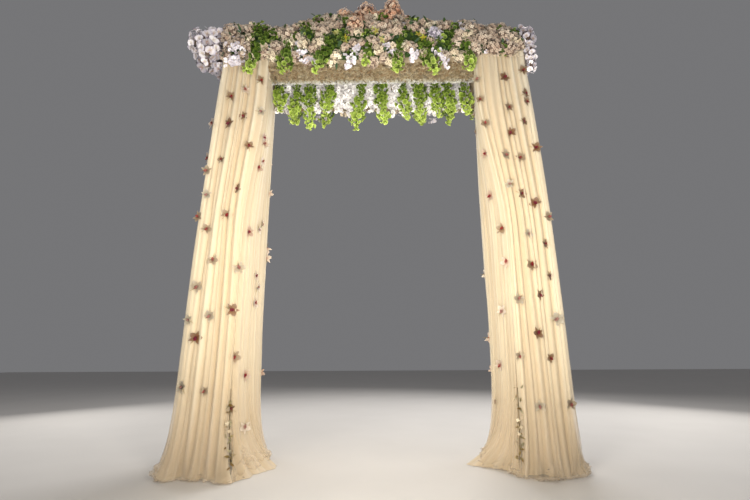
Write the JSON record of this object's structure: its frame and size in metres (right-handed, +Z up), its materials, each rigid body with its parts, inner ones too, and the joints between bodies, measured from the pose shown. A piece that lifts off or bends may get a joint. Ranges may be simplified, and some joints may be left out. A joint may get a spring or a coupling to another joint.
{
  "type": "draped wedding canopy",
  "caption": "Free-standing wedding canopy: two deep draped sides of gathered ivory fabric carry a beam piled with flowers and hung with greens.",
  "frame": {"origin": "on the floor, in the middle of the walkway between the draped sides", "axes": "+X across the walkway, -Y towards the pictured front, +Z up"},
  "size_m": [3.4136, 1.0542, 4.2861],
  "materials": {
    "drape_fabric": "sheer ivory chiffon under tulle",
    "wrap_fabric": "matt ivory cloth pulled over boards",
    "frame_steel": "grey powder coat",
    "flower_mat": "packed small blossoms and moss",
    "white_petals": "soft petals",
    "peach_petals": "soft petals",
    "green_leaves": "small bright leaves and bells"
  },
  "bodies": {
    "root": {"left_front_drape": "drape_fabric", "left_outer_drape": "drape_fabric", "left_rear_drape": "drape_fabric", "left_inner_drape": "drape_fabric", "left_drape_hoop": "frame_steel", "left_front_base_plate": "frame_steel", "left_front_post": "frame_steel", "left_rear_base_plate": "frame_steel", "left_rear_post": "frame_steel", "left_end_beam": "wrap_fabric", "right_front_drape": "drape_fabric", "right_outer_drape": "drape_fabric", "right_rear_drape": "drape_fabric", "right_inner_drape": "drape_fabric", "right_drape_hoop": "frame_steel", "right_front_base_plate": "frame_steel", "right_front_post": "frame_steel", "right_rear_base_plate": "frame_steel", "right_rear_post": "frame_steel", "right_end_beam": "wrap_fabric", "front_beam": "wrap_fabric", "front_soffit_mat": "flower_mat", "front_flower_bank_left": "white_petals", "front_flower_bank_centre": "white_petals", "front_flower_bank_right": "white_petals", "rear_beam": "wrap_fabric", "rear_soffit_mat": "flower_mat", "rear_flower_bank_left": "white_petals", "rear_flower_bank_centre": "white_petals", "rear_flower_bank_right": "white_petals", "tie_bar_1": "frame_steel", "tie_bar_2": "frame_steel", "tie_bar_3": "frame_steel", "front_greens_left": "green_leaves", "walkway_greens_left": "green_leaves", "front_greens_centre": "green_leaves", "walkway_greens_centre": "green_leaves", "front_greens_right": "green_leaves", "walkway_greens_right": "green_leaves", "rear_greens": "green_leaves", "walkway_blossoms": "white_petals", "centre_crown": "peach_petals", "left_end_flowers": "white_petals", "right_end_flowers": "white_petals"}
  },
  "joints": []
}
